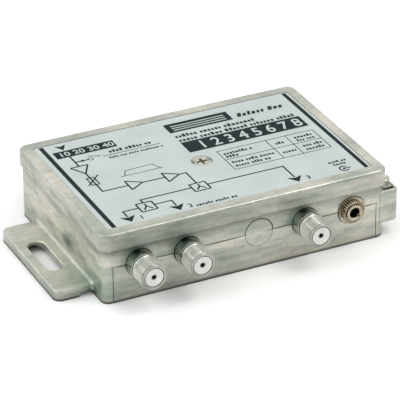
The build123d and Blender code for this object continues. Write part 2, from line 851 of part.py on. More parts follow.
for port, (x, side) in ports.items():
    nodes[port + "_shell"] = at_wall(x, side) * connector_shell()
    nodes[port + "_insulator"] = at_wall(x, side) * connector_insulator()
    nodes[port + "_contact"] = at_wall(x, side) * connector_contact()

os.makedirs("parts", exist_ok=True)
for name, shape in nodes.items():
    export_step(shape, "parts/" + name + ".step")
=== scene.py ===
import math
import random

import bmesh
import bpy
from mathutils import Matrix, Vector


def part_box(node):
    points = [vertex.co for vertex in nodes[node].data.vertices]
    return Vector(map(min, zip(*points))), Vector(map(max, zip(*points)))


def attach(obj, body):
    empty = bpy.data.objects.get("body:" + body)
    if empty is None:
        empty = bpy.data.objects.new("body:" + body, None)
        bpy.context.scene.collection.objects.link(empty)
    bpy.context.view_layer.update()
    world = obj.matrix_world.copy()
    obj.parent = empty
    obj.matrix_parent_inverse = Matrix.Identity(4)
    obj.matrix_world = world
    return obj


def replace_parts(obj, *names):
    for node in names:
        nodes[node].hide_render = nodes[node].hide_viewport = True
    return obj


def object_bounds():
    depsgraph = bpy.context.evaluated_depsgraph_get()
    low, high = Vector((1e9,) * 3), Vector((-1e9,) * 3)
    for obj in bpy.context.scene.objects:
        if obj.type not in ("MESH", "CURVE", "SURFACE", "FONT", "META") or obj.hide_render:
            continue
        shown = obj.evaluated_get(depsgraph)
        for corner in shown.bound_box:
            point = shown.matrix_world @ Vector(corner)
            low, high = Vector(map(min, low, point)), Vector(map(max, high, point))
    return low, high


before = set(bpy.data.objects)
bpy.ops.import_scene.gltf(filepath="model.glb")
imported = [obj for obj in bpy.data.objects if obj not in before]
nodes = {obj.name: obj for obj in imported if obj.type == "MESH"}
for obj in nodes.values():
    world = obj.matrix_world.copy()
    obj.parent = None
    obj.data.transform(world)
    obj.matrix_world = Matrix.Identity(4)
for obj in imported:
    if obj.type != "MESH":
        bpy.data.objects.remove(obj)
cad_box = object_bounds()

# Base casting
# The lower half of the case, die-cast in zinc: floor, half walls, screw pillar and board posts.
# Its skin is as it left the die: matte and pale, with flow marks and fine grain. A dark spot, painted shade
# and painted light are laid over it.

mm = 0.001
ports = ("output_1", "output_2", "output_3", "input")


def in_mm(x, y, z):
    """A place, or the reach of something along three axes, given in millimetres."""
    return Vector((x, y, z)) * mm


def middle_of(node):
    """The middle of a node's box."""
    low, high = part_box(node)
    return (low + high) / 2


def on_face(port, node):
    """Where a port's axis comes out of the outer face of a node."""
    place = middle_of(port + "_shell")
    low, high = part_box(node)
    place.y = low.y if place.y < 0 else high.y
    return place


def new_finish(name):
    """A material, its tree of nodes and its shader."""
    finish = bpy.data.materials.new(name)
    finish.use_nodes = True
    return finish, finish.node_tree, finish.node_tree.nodes["Principled BSDF"]


def mottle(tree, patch, detail=3.0, stretch=(1, 1, 1), shift=0.0):
    """Soft random patches of a size in metres, fixed to the piece."""
    where = tree.nodes.new("ShaderNodeTexCoord")
    laid = tree.nodes.new("ShaderNodeMapping")
    laid.inputs["Location"].default_value = (shift, shift, shift)
    laid.inputs["Scale"].default_value = [1 / (s * patch) for s in stretch]
    cloud = tree.nodes.new("ShaderNodeTexNoise")
    cloud.inputs["Scale"].default_value = 1.0
    cloud.inputs["Detail"].default_value = detail
    tree.links.new(where.outputs["Object"], laid.inputs["Vector"])
    tree.links.new(laid.outputs["Vector"], cloud.inputs["Vector"])
    return cloud.outputs["Fac"]


def graded(tree, amount, *stops):
    """A colour or a level that follows an amount through stops of place and colour."""
    ramp = tree.nodes.new("ShaderNodeValToRGB")
    for index, (place, colour) in enumerate(stops):
        stop = ramp.color_ramp.elements[index] if index < 2 else ramp.color_ramp.elements.new(place)
        stop.position = place
        stop.color = (*colour, 1) if isinstance(colour, tuple) else (colour, colour, colour, 1)
    tree.links.new(amount, ramp.inputs["Fac"])
    return ramp.outputs["Color"]


def worked(tree, operation, amount, number=0.0):
    """An amount put through one step of arithmetic with a fixed number."""
    step = tree.nodes.new("ShaderNodeMath")
    step.operation = operation
    step.inputs[1].default_value = number
    tree.links.new(amount, step.inputs[0])
    return step.outputs[0]


def tinted(tree, colour, tint, share=None):
    """One colour multiplied by another, fully or by a share that varies."""
    both = tree.nodes.new("ShaderNodeMix")
    both.data_type = "RGBA"
    both.blend_type = "MULTIPLY"
    both.inputs[0].default_value = 1.0
    tree.links.new(colour, both.inputs[6])
    tree.links.new(tint, both.inputs[7])
    if share:
        tree.links.new(share, both.inputs[0])
    return both.outputs[2]


def relief(tree, shader, height, depth, strength=1.0):
    """Fine relief of a depth in metres, laid over any relief that the shader has."""
    bump = tree.nodes.new("ShaderNodeBump")
    bump.inputs["Distance"].default_value = depth
    bump.inputs["Strength"].default_value = strength
    tree.links.new(height, bump.inputs["Height"])
    if shader.inputs["Normal"].links:
        tree.links.new(shader.inputs["Normal"].links[0].from_socket, bump.inputs["Normal"])
    tree.links.new(bump.outputs["Normal"], shader.inputs["Normal"])


def away_from(tree, place, reach):
    """How far a point is from a place, as a share of the reach along each axis."""
    where = tree.nodes.new("ShaderNodeTexCoord")
    laid = tree.nodes.new("ShaderNodeMapping")
    laid.vector_type = "TEXTURE"
    laid.inputs["Location"].default_value = place
    laid.inputs["Scale"].default_value = reach
    away = tree.nodes.new("ShaderNodeVectorMath")
    away.operation = "LENGTH"
    tree.links.new(where.outputs["Object"], laid.inputs["Vector"])
    tree.links.new(laid.outputs["Vector"], away.inputs[0])
    return away.outputs["Value"]


def spot_tinted(tree, colour, place, reach, tint, core=0.15):
    """A colour with a soft tinted spot round a place: the tint in its core, clear at its reach. Most spots
    are painted shade or painted light.
    """
    spot = graded(tree, away_from(tree, place, reach), (core, tint), (1.0, (1, 1, 1)))
    return tinted(tree, colour, spot)


def height_tint(tree, *stops):
    """A tint that changes with the height over the table, from stops of height and tint."""
    top = cad_box[1][2]
    where = tree.nodes.new("ShaderNodeTexCoord")
    split = tree.nodes.new("ShaderNodeSeparateXYZ")
    tree.links.new(where.outputs["Object"], split.inputs["Vector"])
    share = worked(tree, "DIVIDE", split.outputs["Z"], top)
    return graded(tree, share, *[(height / top, tint) for height, tint in stops])


def painted_seam_shade(tree, skin):
    """Painted shade along the front seam between the ports, a painted shadow round the washer's edge and a
    dark painted ring in the blanked port's groove.
    """
    low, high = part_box("base_cover")
    outputs = [on_face(port, "base_cover") for port in ports[:3]]
    jack = middle_of("jack_nut")
    jack.y = low.y
    blank = 2 * outputs[2] - jack
    ends = sorted([low.x, high.x, jack.x, blank.x, *[port.x for port in outputs]])
    for start, end in zip(ends, ends[1:]):
        place = ((start + end) / 2, low.y, jack.z)
        reach = (0.44 * (end - start), 3 * mm, 0.45 * mm)
        skin = spot_tinted(tree, skin, place, reach, (0.46, 0.48, 0.44), 0.5)
    skin = spot_tinted(tree, skin, jack, in_mm(5.5, 3, 5.5), (0.30, 0.30, 0.27), 0.92)
    ring = away_from(tree, blank, in_mm(5.25, 5.25, 5.25))
    groove = graded(tree, ring, (0.92, 1.0), (0.97, 0.58), (0.996, 0.58), (1.0, 1.0))
    return tinted(tree, skin, groove)


def cast_skin():
    """Matte zinc as cast, with flow marks along the case, clouds and dark grain, a dark spot by the ear, and
    painted shade and painted light.
    """
    finish, tree, shader = new_finish("cast_zinc")
    shader.inputs["Metallic"].default_value = 0.8
    flow = mottle(tree, 6 * mm, 5.0, (3.4, 2.2, 0.5))
    zincs = ((0.440, 0.490, 0.428), (0.635, 0.655, 0.575), (0.815, 0.785, 0.700))
    skin = graded(tree, flow, *zip((0.30, 0.50, 0.68), zincs))
    clouds = mottle(tree, 1.9 * mm, 4.0, (1.6, 1.3, 0.8), 9.0)
    skin = tinted(tree, skin, graded(tree, clouds, (0.34, 0.88), (0.54, 1.0)))
    grain = mottle(tree, 0.42 * mm, 2.0, shift=13.0)
    skin = tinted(tree, skin, graded(tree, grain, (0.34, 0.84), (0.48, 1.0)))

    band_foot = 20 * mm
    recess_floor = 25.86 * mm
    line = 0.1 * mm
    # Painted shade by height: a dark painted contact shadow along the foot, walls a little darker low down, a
    # painted shadow line under the band's overhang and a dark painted line at the edge of the label's recess.
    # The underside itself keeps nearly its own colour.
    fall = height_tint(tree, (0, 0.92), (0.02 * mm, 0.05), (0.6 * mm, 0.30), (1.2 * mm, 0.80),
                       (4 * mm, 0.88), (0.8 * band_foot, 1.0), (band_foot - 2 * line, 0.55),
                       (band_foot, 0.83), (recess_floor - line, 0.85), (recess_floor, 0.28),
                       (recess_floor + line, 0.94))
    skin = tinted(tree, skin, fall)

    ear_width = 13.6 * mm
    left = Vector((cad_box[0][0] + ear_width, 0, 0))
    right = Vector((cad_box[1][0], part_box("base_cover")[0].y, 0))
    # A dark teal spot on the left wall by the ear; painted shade at the left wall's front corner; painted
    # light higher up the left wall, on the ear's top and on the right of the front wall; painted shade on the
    # front band; painted shadow deep in the ear's slot and in the arch under the ear.
    wall_by_ear = (left + in_mm(0, -6, 9), in_mm(4, 6, 4), (0.30, 0.42, 0.44))
    wall_corner_shade = (left + in_mm(0, -30, 3), in_mm(9, 16, 12), (0.72, 0.84, 0.78))
    wall_light = (left + in_mm(0, 4, 14), in_mm(3, 40, 12), (1.15, 1.09, 1.08))
    ear_light = (left + in_mm(-8, -2.6, 4.1), in_mm(10, 30, 2.4), (1.16, 1.16, 1.14), 0.5)
    band_shade = (in_mm(-36, -36, 22), in_mm(66, 4, 6.6), (0.78, 0.80, 0.80), 0.5)
    slot_end_shadow = (left + in_mm(-7.2, 7.6, 0.8), in_mm(3.6, 4.5, 2.9), (0.06, 0.06, 0.05), 0.55)
    ear_arch_shadow = (left + in_mm(-1.5, -26.5, 0.5), in_mm(2.6, 3, 2), (0.08, 0.08, 0.07), 0.4)
    front_light = (right + in_mm(-22, 0, 5), in_mm(30, 5, 12), (1.14, 1.13, 1.12), 0.3)
    for spot in (wall_by_ear, wall_corner_shade, wall_light, ear_light, band_shade, slot_end_shadow, ear_arch_shadow,
                  front_light):
        skin = spot_tinted(tree, skin, *spot)
    # Painted shadow on the wall above and to the left of each port, by its shoulder.
    for port in ports:
        over = on_face(port, "base_cover") + in_mm(-1.8, 0, 2.2)
        skin = spot_tinted(tree, skin, over, in_mm(6, 5, 5.4), (0.50, 0.58, 0.56), 0.42)
    tree.links.new(painted_seam_shade(tree, skin), shader.inputs["Base Color"])

    patches = mottle(tree, 2.2 * mm, 3.0, (2.0, 2.0, 0.6), 7.0)
    tree.links.new(graded(tree, patches, (0.3, 0.30), (0.7, 0.50)), shader.inputs["Roughness"])
    relief(tree, shader, mottle(tree, 3.5 * mm, 2.0, (3.0, 2.0, 0.7), 5.0), 0.16 * mm)
    relief(tree, shader, mottle(tree, 0.4 * mm, 2.0), 0.03 * mm)
    return finish


def dress(node, finish):
    """Gives a part of the frame its finish."""
    nodes[node].data.materials.clear()
    nodes[node].data.materials.append(finish)


cast_zinc = cast_skin()
dress("base_cover", cast_zinc)

# Circuit board
# Glass laminate with green lacquer, held on the base's two posts by pan-head screws.
# Copper tracks run under the lacquer, and tinned pads show where the small chips are soldered.


def board_lacquer(name, deep, bright):
    """Green lacquer over the weave of the glass cloth."""
    finish, tree, shader = new_finish(name)
    weave = tree.nodes.new("ShaderNodeTexWave")
    weave.inputs["Scale"].default_value = 900
    weave.inputs["Distortion"].default_value = 0.6
    where = tree.nodes.new("ShaderNodeTexCoord")
    tree.links.new(where.outputs["Object"], weave.inputs["Vector"])
    shade = graded(tree, mottle(tree, 12 * mm), (0.3, deep), (0.7, bright))
    tree.links.new(shade, shader.inputs["Base Color"])
    shader.inputs["Coat Weight"].default_value = 0.4
    tree.links.new(graded(tree, mottle(tree, 3 * mm), (0.3, 0.28), (0.7, 0.4)), shader.inputs["Roughness"])
    relief(tree, shader, weave.outputs["Fac"], 0.004 * mm)
    return finish


def plated(name, dark, bright, smooth, rough, grain, stretch=(1, 1, 1), metallic=1.0):
    """A plated or drawn metal: two shades, a run of grain and uneven gloss."""
    finish, tree, shader = new_finish(name)
    shader.inputs["Metallic"].default_value = metallic
    shade = mottle(tree, 6 * grain, 3.0, stretch)
    tree.links.new(graded(tree, shade, (0.3, dark), (0.7, bright)), shader.inputs["Base Color"])
    gloss = mottle(tree, 3 * grain, 2.0, stretch, 2.0)
    tree.links.new(graded(tree, gloss, (0.3, smooth), (0.7, rough)), shader.inputs["Roughness"])
    relief(tree, shader, mottle(tree, grain, 2.0, stretch, 4.0), grain / 40)
    return finish


def place_piece(name, mesh, finish, body):
    """Puts a finished mesh on a body of the frame."""
    made = bpy.data.meshes.new(name)
    mesh.to_mesh(made)
    mesh.free()
    made.materials.append(finish)
    piece = bpy.data.objects.new(name, made)
    bpy.context.scene.collection.objects.link(piece)
    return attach(piece, body)


def add_sheet(mesh, outline, low, high):
    """Adds a thin sheet cut to an outline of X and Y points."""
    foot = [mesh.verts.new((x, y, low)) for x, y in outline]
    top = [mesh.verts.new((x, y, high)) for x, y in outline]
    faces = [mesh.faces.new(top), mesh.faces.new(foot[::-1])]
    for k in range(len(outline)):
        faces.append(mesh.faces.new((foot[k - 1], foot[k], top[k], top[k - 1])))
    bmesh.ops.recalc_face_normals(mesh, faces=faces)


def stroke(points, width):
    """The outline of a line of even width, with mitred corners."""
    points = [Vector(p) for p in points]
    points = [p for k, p in enumerate(points) if not k or (p - points[k - 1]).length > 0.01 * mm]
    left = []
    right = []
    for k, point in enumerate(points):
        before = (point - points[k - 1]).normalized() if k else None
        after = (points[k + 1] - point).normalized() if k + 1 < len(points) else None
        before, after = before or after, after or before
        across = (before.orthogonal() + after.orthogonal()).normalized()
        reach = width / 2 / across.dot(after.orthogonal())
        left.append(point + across * reach)
        right.append(point - across * reach)
    return left + right[::-1]


def solid_boxes(node):
    """The lowest and highest corners of each separate solid of a node."""
    mesh = bmesh.new()
    mesh.from_mesh(nodes[node].data)
    bmesh.ops.remove_doubles(mesh, verts=mesh.verts, dist=0.001 * mm)
    waiting = set(mesh.verts)
    found = []
    while waiting:
        reached = [waiting.pop()]
        for vert in reached:
            for edge in vert.link_edges:
                other = edge.other_vert(vert)
                if other in waiting:
                    waiting.remove(other)
                    reached.append(other)
        low = tuple(min(v.co[axis] for v in reached) for axis in range(3))
        high = tuple(max(v.co[axis] for v in reached) for axis in range(3))
        found.append((low, high))
    mesh.free()
    return [(Vector(low), Vector(high)) for low, high in sorted(found)]


def board_route(start, end):
    """A track from one place to another: along the board, then across it."""
    return [start, Vector((end.x, start.y)), end]


def lay_tracks():
    """Tracks that join the stages in the order in which the signal meets them."""
    track_width = 0.9 * mm
    inset = 3 * mm
    jack_lugs_y = -20 * mm
    supply_y = 24 * mm
    supply_ends = (-29 * mm, 38 * mm)
    drop_ends_y = 14 * mm
    order = ["input_contact", "input_amplifier", "trimmer_body", "driver_amplifier", "output_amplifier",
             "splitter_core_1", "splitter_core_2"]
    places = [middle_of(node).xy for node in order]
    places[0].y = board_high.y - inset
    routes = [(board_route(start, end), track_width) for start, end in zip(places, places[1:])]
    feeds = [("splitter_core_2", "output_1_contact"), ("splitter_core_2", "output_2_contact"),
             ("splitter_core_1", "output_3_contact"), ("supply_regulator", "jack_body")]
    for start, node in feeds:
        end = middle_of(node).xy
        end.y = board_low.y + inset if "contact" in node else jack_lugs_y
        routes.append((board_route(middle_of(start).xy, end), track_width))
    routes.append(([Vector((x, supply_y)) for x in supply_ends], 2 * track_width))
    for x in (-29 * mm, 21 * mm, 31 * mm):
        routes.append(([Vector((x, drop_ends_y)), Vector((x, supply_y))], 2 * track_width))
    mesh = bmesh.new()
    for layer, (route, width) in enumerate(routes):
        lift = layer * copper / 50
        add_sheet(mesh, stroke(route, width), board_top - lift, board_top + copper + lift)
    place_piece("board_tracks", mesh, tracks_green, "base")


def lay_pads():
    """Tinned pads under both ends of every small chip."""
    pad_spare = 0.35 * mm
    pad_share = 0.3
    mesh = bmesh.new()
    for node, along in (("chip_resistors", 0), ("chip_capacitors", 1)):
        for low, high in solid_boxes(node):
            length = high[along] - low[along]
            first = (-pad_spare, pad_share * length)
            second = ((1 - pad_share) * length, length + pad_spare)
            for near, far in (first, second):
                a = Vector(low)
                b = Vector(high)
                a[along] = low[along] + near
                b[along] = low[along] + far
                outline = [(a.x, a.y), (b.x, a.y), (b.x, b.y), (a.x, b.y)]
                add_sheet(mesh, outline, board_top, board_top + 2 * copper)
    place_piece("board_pads", mesh, solder_bright, "base")


board_low, board_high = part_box("circuit_board")
board_top = board_high.z
copper = 0.05 * mm
board_green = board_lacquer("board_green", (0.012, 0.105, 0.045), (0.020, 0.150, 0.062))
tracks_green = board_lacquer("track_green", (0.035, 0.215, 0.085), (0.055, 0.270, 0.110))
screw_zinc = plated("screw_zinc", (0.48, 0.49, 0.43), (0.78, 0.78, 0.71), 0.16, 0.32, 0.25 * mm)
solder_bright = plated("solder_bright", (0.56, 0.56, 0.55), (0.76, 0.76, 0.74), 0.18, 0.34, 0.2 * mm)
dress("circuit_board", board_green)
dress("board_screws", screw_zinc)
lay_tracks()
lay_pads()

# Amplifiers, regulator and small chips
# Moulded packages and ceramic chips, soldered flat on the board.
# Their leads and the chips' end caps are tinned.


def moulded(name, dark, bright, smooth, rough, grain):
    """A moulded or fired surface: two close shades, fine grain and uneven gloss."""
    return plated(name, dark, bright, smooth, rough, grain, metallic=0.0)


def add_block(mesh, low, high, edge):
    """Adds a block with eased edges."""
    box = bmesh.ops.create_cube(mesh, size=1.0)["verts"]
    middle = (Vector(low) + Vector(high)) / 2
    size = Vector(high) - Vector(low)
    for vert in box:
        vert.co = vert.co * size + middle
    edges = list({e for v in box for e in v.link_edges})
    bmesh.ops.bevel(mesh, geom=edges, offset=edge, segments=2, profile=0.6, affect="EDGES")


def cap_chips():
    """The tinned caps folded over both ends of each small chip."""
    cap_length = 0.4 * mm
    skin = 0.03 * mm
    mesh = bmesh.new()
    for node, along in (("chip_resistors", 0), ("chip_capacitors", 1)):
        for low, high in solid_boxes(node):
            for end in (0, 1):
                a = low - Vector((skin, skin, 0))
                b = high + Vector((skin, skin, skin))
                if end:
                    a[along] = high[along] - cap_length
                else:
                    b[along] = low[along] + cap_length
                add_block(mesh, a, b, 1.5 * skin)
    place_piece("chip_end_caps", mesh, solder_bright, "base")


package_black = moulded("package_black", (0.012, 0.012, 0.013), (0.030, 0.030, 0.031), 0.42, 0.6, 0.12 * mm)
for package in ("input_amplifier", "driver_amplifier", "output_amplifier", "supply_regulator"):
    dress(package, package_black)
dress("package_leads", solder_bright)
chip_glaze = moulded("chip_glaze", (0.010, 0.010, 0.012), (0.022, 0.022, 0.026), 0.16, 0.3, 0.2 * mm)
dress("chip_resistors", chip_glaze)
chip_clay = moulded("chip_clay", (0.36, 0.24, 0.13), (0.47, 0.33, 0.19), 0.45, 0.6, 0.15 * mm)
dress("chip_capacitors", chip_clay)
cap_chips()

# Splitters and chokes
# Ferrite cores, pressed and fired, wound by hand with enamelled copper wire.
# Three turns pass through both holes of each splitter core, and the chokes carry a close coil.

wire_radius = 0.2 * mm


def draw_wire(name, routes):
    """Round wire along smooth routes, as one mesh."""
    curve = bpy.data.curves.new(name, "CURVE")
    curve.dimensions = "3D"
    curve.bevel_depth = wire_radius
    curve.bevel_resolution = 3
    curve.use_fill_caps = True
    for route in routes:
        spline = curve.splines.new("NURBS")
        spline.points.add(len(route) - 1)
        for point, place in zip(spline.points, route):
            point.co = (*place, 1)
        spline.order_u = 3
        spline.use_endpoint_u = True
        spline.resolution_u = 4
    drawn = bpy.data.objects.new(name, curve)
    bpy.context.scene.collection.objects.link(drawn)
    mesh = bmesh.new()
    mesh.from_mesh(bpy.data.meshes.new_from_object(drawn))
    bpy.data.objects.remove(drawn)
    for face in mesh.faces:
        face.smooth = True
    return place_piece(name, mesh, copper_enamel, "base")


def splitter_winding(low, high):
    """Three turns through the two holes, with both ends brought down to the board."""
    middle = (low + high) / 2
    hole = (high.x - low.x) / 4
    reach = (high.y - low.y) / 2 + 0.6 * mm
    turn_step = 0.5 * mm
    foot = low.z + 0.1 * mm
    route = [(middle.x - hole - turn_step, middle.y - reach, foot)]
    for turn in (-1, 0, 1):
        height = middle.z + turn * turn_step
        lean = turn * turn_step / 2
        corners = ((-hole, -reach), (-hole, reach), (hole, reach), (hole, -reach))
        route += [(middle.x + x + lean, middle.y + y, height) for x, y in corners for _ in (0, 1)]
    route.append((middle.x + hole + turn_step, middle.y - reach, foot))
    return route


def choke_winding(low, high):
    """A close coil round the waist of a choke."""
    middle = (low + high) / 2
    tall = high.z - low.z
    waist_radius = 0.68 * (high.x - low.x) / 2
    start = low.z + 0.27 * tall
    rise = 0.46 * tall
    turns = 5
    steps = 14
    route = []
    for k in range(turns * steps + 1):
        angle = math.tau * k / steps
        out = (waist_radius + wire_radius) * Vector((math.cos(angle), math.sin(angle)))
        route.append((middle.x + out.x, middle.y + out.y, start + rise * k / (turns * steps)))
    return route


ferrite_grey = moulded("ferrite_grey", (0.030, 0.030, 0.032), (0.060, 0.058, 0.058), 0.5, 0.72, 0.18 * mm)
for core in ("splitter_core_1", "splitter_core_2", "supply_chokes"):
    dress(core, ferrite_grey)
copper_enamel = plated("copper_enamel", (0.42, 0.13, 0.04), (0.62, 0.24, 0.08), 0.18, 0.3, 0.4 * mm)
splitter_routes = [splitter_winding(*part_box(core)) for core in ("splitter_core_1", "splitter_core_2")]
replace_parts(draw_wire("splitter_coils", splitter_routes), "splitter_wires")
draw_wire("choke_coils", [choke_winding(*box) for box in solid_boxes("supply_chokes")])

# Supply capacitors
# Drawn aluminium cans on moulded bases, with the safety cross scored in the top.
# A printed black sector marks the negative side.


def arc(middle, radius, start, stop, step):
    """Points round a middle, from one angle to another in degrees."""
    turns = [math.radians(angle) for angle in range(start, stop, step)]
    return [(middle[0] + radius * math.cos(turn), middle[1] + radius * math.sin(turn)) for turn in turns]


def mark_cans():
    """The black sectors and the scored crosses on the cans' tops."""
    print_depth = 0.05 * mm
    mesh = bmesh.new()
    for low, high in solid_boxes("supply_capacitors"):
        middle = (low + high) / 2
        radius = 0.78 * (high.x - low.x) / 2
        add_sheet(mesh, arc(middle, radius, 125, 236, 10), high.z, high.z + print_depth)
        centre = Vector((middle.x + 0.12 * radius, middle.y))
        for dy in (1, -1):
            arm = Vector((1, dy)) * 0.45 * radius
            score = stroke([centre - arm, centre + arm], 0.15 * mm)
            add_sheet(mesh, score, high.z, high.z + print_depth / 2)
    place_piece("capacitor_marks", mesh, print_black, "base")


can_bright = plated("can_bright", (0.60, 0.61, 0.62), (0.80, 0.81, 0.82), 0.16, 0.26, 0.3 * mm, (1, 1, 8))
dress("supply_capacitors", can_bright)
print_black = moulded("print_black", (0.010, 0.016, 0.020), (0.020, 0.028, 0.033), 0.35, 0.5, 0.3 * mm)
mark_cans()

# Shield, level control and switch
# A tinned sheet stands between the stages. The level control has a blue case and a slotted rotor,
# and the cable supply's switch has a tinned frame and a black slider.

tin_sheet = plated("tin_sheet", (0.52, 0.52, 0.51), (0.70, 0.70, 0.68), 0.24, 0.4, 0.5 * mm, (3, 3, 0.6))
dress("shield_wall", tin_sheet)
case_blue = moulded("case_blue", (0.012, 0.075, 0.27), (0.022, 0.11, 0.36), 0.35, 0.5, 0.2 * mm)
dress("trimmer_body", case_blue)
rotor_cream = moulded("rotor_cream", (0.66, 0.62, 0.52), (0.78, 0.75, 0.66), 0.4, 0.55, 0.2 * mm)
dress("trimmer_rotor", rotor_cream)
dress("switch_body", tin_sheet)
dress("switch_slider", package_black)

# Coaxial connectors
# Turned brass shells with a satin nickel plate, a plain shoulder and a three-eighths inch thread of
# 32 turns to the inch. A white core is pressed in, and a slit bronze contact sits behind its hole.

thread_pitch = 25.4 * mm / 32
thread_depth = 0.44 * mm
thread_crest_share = 0.22
thread_root_share = 0.12
thread_groove_shade = 0.6
chamfer_share = 0.6
rings_per_turn = 10
barrel_sides = 80


def port_place(port):
    """Where a port stands in its wall: Z out of the case, Y up."""
    place = on_face(port, "base_cover")
    turn = Matrix.Rotation(math.radians(90), 4, "X")
    if place.y > 0:
        turn = Matrix.Rotation(math.radians(180), 4, "Z") @ turn
    return Matrix.Translation(place) @ turn


def even_ring(radius, height, dull_shade=0.0):
    """A round ring of the barrel: radius, height and how dark the nickel is painted there."""
    return [(radius, height, dull_shade)] * barrel_sides


def thread_rings(radius, start, tip, chamfer):
    """Rings along a right-handed thread, fading in at its start and chamfered at its tip."""
    steps = round((tip - start) / thread_pitch * rings_per_turn)
    rings = []
    for k in range(steps + 1):
        height = start + (tip - start) * k / steps
        least = chamfer_share if tip - height < chamfer else 0.0
        ring = []
        for j in range(barrel_sides):
            lead = (height / thread_pitch - j / barrel_sides) % 1.0
            off_crest = abs(2 * lead - 1)
            flank = (off_crest - thread_crest_share) / (1 - thread_crest_share - thread_root_share)
            cut = thread_depth * min(max(flank, 0.0), 1.0) * min((height - start) / thread_pitch, 1.0)
            # The thread's groove is tinted darker, for oxide and painted shade; the chamfer at the tip is
            # tinted darker too.
            groove_shade = thread_groove_shade * max(cut / thread_depth, least)
            ring.append((min(radius - cut, radius - chamfer + tip - height), height, groove_shade))
        rings.append(ring)
    return rings


def flange_ring(half, corner, height):
    """A ring round the square flange with its corners cut."""
    ring = []
    for j in range(barrel_sides):
        angle = math.tau * j / barrel_sides
        c = abs(math.cos(angle))
        s = abs(math.sin(angle))
        ring.append((min(half / max(c, s), (2 * half - corner) / (c + s)), height, 0.0))
    return ring


def ring_mesh(rings, place):
    """A closed mesh through rings of radius and height, the last joined to the first."""
    mesh = bmesh.new()
    dull_and_shaded = mesh.verts.layers.float.new("dull_and_shaded")
    loops = []
    for ring in rings:
        loop = []
        for j, (radius, height, dull_shade) in enumerate(ring):
            angle = math.tau * j / barrel_sides
            corner = Vector((radius * math.cos(angle), radius * math.sin(angle), height))
            vert = mesh.verts.new(place @ corner)
            vert[dull_and_shaded] = dull_shade
            loop.append(vert)
        loops.append(loop)
    for k, loop in enumerate(loops):
        last = loops[k - 1]
        for j in range(barrel_sides):
            face = mesh.faces.new((last[j - 1], last[j], loop[j], loop[j - 1]))
            face.smooth = True
    bmesh.ops.recalc_face_normals(mesh, faces=mesh.faces)
    return mesh


def sharpen(mesh, angle_deg):
    """Keeps edges crisp where faces meet at more than an angle."""
    for edge in mesh.edges:
        if len(edge.link_faces) == 2 and edge.calc_face_angle(0) > math.radians(angle_deg):
            edge.smooth = False


def turn_shell(port):
    """One shell, turned, threaded and flanged, with two tails for the board."""
    shoulder = 4.95 * mm
    shoulder_top = 4.2 * mm
    shoulder_shade = 0.46
    shoulder_top_shade = 0.34
    waist = 4.40 * mm
    thread_start = 4.7 * mm
    thread_radius = 4.76 * mm
    tip = 11.6 * mm
    chamfer = 0.4 * mm
    bore = 3.75 * mm
    lip_bore = 3.30 * mm
    lip_edge = 0.05 * mm
    lip_groove = 0.22 * mm
    lip_shade = 0.35
    under_lip = tip - 0.1 * mm
    ease = 0.12 * mm
    # Painted shade on the shoulder and the lip's face; the waist groove and the bore's lip get the darkest
    # painted shade.
    dark = 1.0
    flange = (5.5 * mm, 1.5 * mm)
    flange_front = -2.0 * mm
    flange_back = -3.4 * mm
    rings = [even_ring(bore, flange_back), flange_ring(*flange, flange_back),
             flange_ring(*flange, flange_front), even_ring(shoulder, flange_front),
             even_ring(shoulder, 0.3 * shoulder_top, shoulder_shade),
             even_ring(shoulder, shoulder_top - ease, shoulder_top_shade),
             even_ring(shoulder - ease, shoulder_top), even_ring(waist, shoulder_top, dark),
             even_ring(waist, thread_start, dark)]
    rings += thread_rings(thread_radius, thread_start, tip, chamfer)
    rings += [even_ring(lip_bore + lip_groove + lip_edge, tip, lip_shade),
              even_ring(lip_bore + lip_groove, tip, dark), even_ring(lip_bore, tip - lip_edge, dark),
              even_ring(lip_bore, under_lip, dark), even_ring(bore, under_lip, dark)]
    place = port_place(port)
    mesh = ring_mesh(rings, place)
    for hand in (-1, 1):
        inner = place @ in_mm(hand * 4.3, -0.7, -6.6)
        outer = place @ Vector((hand * flange[0], 0.1 * mm, flange_back))
        low = [min(pair) for pair in zip(inner, outer)]
        high = [max(pair) for pair in zip(inner, outer)]
        add_block(mesh, low, high, 0.1 * mm)
    sharpen(mesh, 32)
    piece = place_piece(port + "_threaded_shell", mesh, nickel_satin, "base")
    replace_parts(piece, port + "_shell")


def colour_of(finish):
    """The tree of a finish, the socket of its colour and the colour that reaches it."""
    socket = finish.node_tree.nodes["Principled BSDF"].inputs["Base Color"]
    return finish.node_tree, socket, socket.links[0].from_socket


def shaded_nickel():
    """Satin nickel, darker in the thread's groove from oxide and painted shade, with painted shade on the
    shoulder, in the waist and down the lip, and painted shadow by the wall.
    """
    finish = plated("nickel_satin", (0.60, 0.62, 0.56), (0.84, 0.845, 0.785), 0.18, 0.28, 0.5 * mm)
    tree, socket, colour = colour_of(finish)
    dull_shade = tree.nodes.new("ShaderNodeAttribute")
    dull_shade.attribute_name = "dull_and_shaded"
    tints = ((1.0, 1.0, 1.0), (0.38, 0.41, 0.39), (0.05, 0.06, 0.055))
    shade = graded(tree, dull_shade.outputs["Fac"], *zip((0.05, thread_groove_shade, 1.0), tints))
    colour = tinted(tree, colour, shade)
    # Painted shadow: a dark crescent on each shoulder's top by the wall, and lighter painted shade over its
    # flank.
    for port in ports:
        top = on_face(port, "top_housing") + in_mm(-1.4, 0, 4.7)
        flank = top - in_mm(1.8, 0, 1.2)
        colour = spot_tinted(tree, colour, top, in_mm(2.6, 1.7, 1.3), (0.05, 0.08, 0.07), 0.35)
        colour = spot_tinted(tree, colour, flank, in_mm(5.5, 5, 5), (0.80, 0.92, 0.91), 0.3)
    tree.links.new(colour, socket)
    return finish


